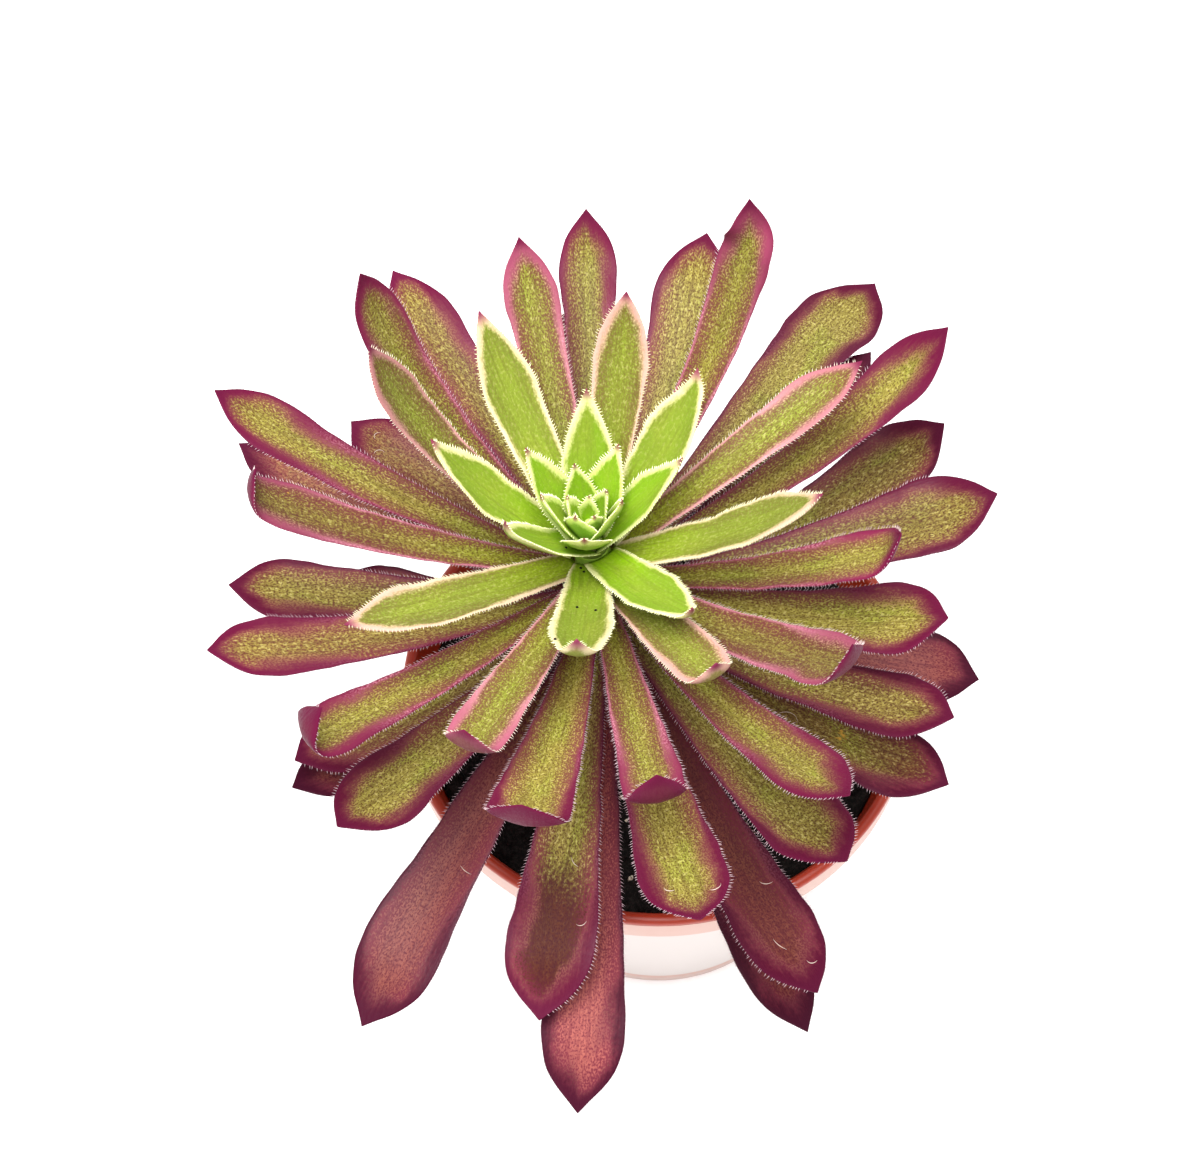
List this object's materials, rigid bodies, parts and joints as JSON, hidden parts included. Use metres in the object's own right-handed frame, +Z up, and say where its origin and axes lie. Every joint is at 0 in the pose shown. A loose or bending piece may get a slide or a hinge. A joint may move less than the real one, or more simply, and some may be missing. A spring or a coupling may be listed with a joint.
{
  "type": "potted aeonium",
  "caption": "Aeonium rosette of channelled, spoon-shaped leaves, green at the heart and purple at the edges, on a short leaning stem in a round terracotta-coloured pot.",
  "frame": {"origin": "centre of the pot's flat base, where the pot rests", "axes": "+Z up the pot; the side seen from the front faces -Y, and +X is to its right"},
  "size_m": [0.1457, 0.1756, 0.1817],
  "materials": {
    "pot_plastic": "moulded polypropylene, satin inside and on the lip, faded and powdery outside",
    "peat_soil": "moist black peat with perlite grains",
    "stem_bark": "grey-brown bark with leaf scars",
    "bud_leaf": "fresh waxy leaf, bright yellow-green with cream margins",
    "young_leaf": "waxy leaf, green with cream and pink margins",
    "mature_leaf": "waxy leaf, olive green with magenta margins",
    "old_leaf": "waxy leaf, burgundy over green"
  },
  "bodies": {
    "root": {"pot": "pot_plastic", "soil": "peat_soil", "stem": "stem_bark", "rosette_bud": "bud_leaf", "leaf_06": "young_leaf", "leaf_07": "young_leaf", "leaf_08": "young_leaf", "leaf_09": "young_leaf", "leaf_10": "young_leaf", "leaf_11": "young_leaf", "leaf_12": "young_leaf", "leaf_13": "young_leaf", "leaf_14": "young_leaf", "leaf_15": "young_leaf", "leaf_16": "young_leaf", "leaf_17": "young_leaf", "leaf_18": "young_leaf", "leaf_19": "young_leaf", "leaf_20": "mature_leaf", "leaf_21": "mature_leaf", "leaf_22": "mature_leaf", "leaf_23": "mature_leaf", "leaf_24": "mature_leaf", "leaf_25": "mature_leaf", "leaf_26": "mature_leaf", "leaf_27": "mature_leaf", "leaf_28": "mature_leaf", "leaf_29": "mature_leaf", "leaf_30": "mature_leaf", "leaf_31": "mature_leaf", "leaf_32": "mature_leaf", "leaf_33": "mature_leaf", "leaf_34": "mature_leaf", "leaf_35": "mature_leaf", "leaf_36": "mature_leaf", "leaf_37": "mature_leaf", "leaf_38": "mature_leaf", "leaf_39": "mature_leaf", "leaf_40": "mature_leaf", "leaf_41": "mature_leaf", "leaf_42": "old_leaf", "leaf_43": "old_leaf", "leaf_44": "old_leaf", "leaf_45": "old_leaf", "leaf_46": "old_leaf", "leaf_47": "old_leaf", "leaf_48": "old_leaf", "leaf_49": "old_leaf", "leaf_50": "old_leaf", "leaf_51": "old_leaf", "leaf_52": "old_leaf", "leaf_53": "old_leaf", "leaf_54": "old_leaf", "leaf_55": "old_leaf", "leaf_56": "old_leaf", "leaf_58": "old_leaf", "leaf_59": "old_leaf", "leaf_61": "old_leaf"}
  },
  "joints": []
}
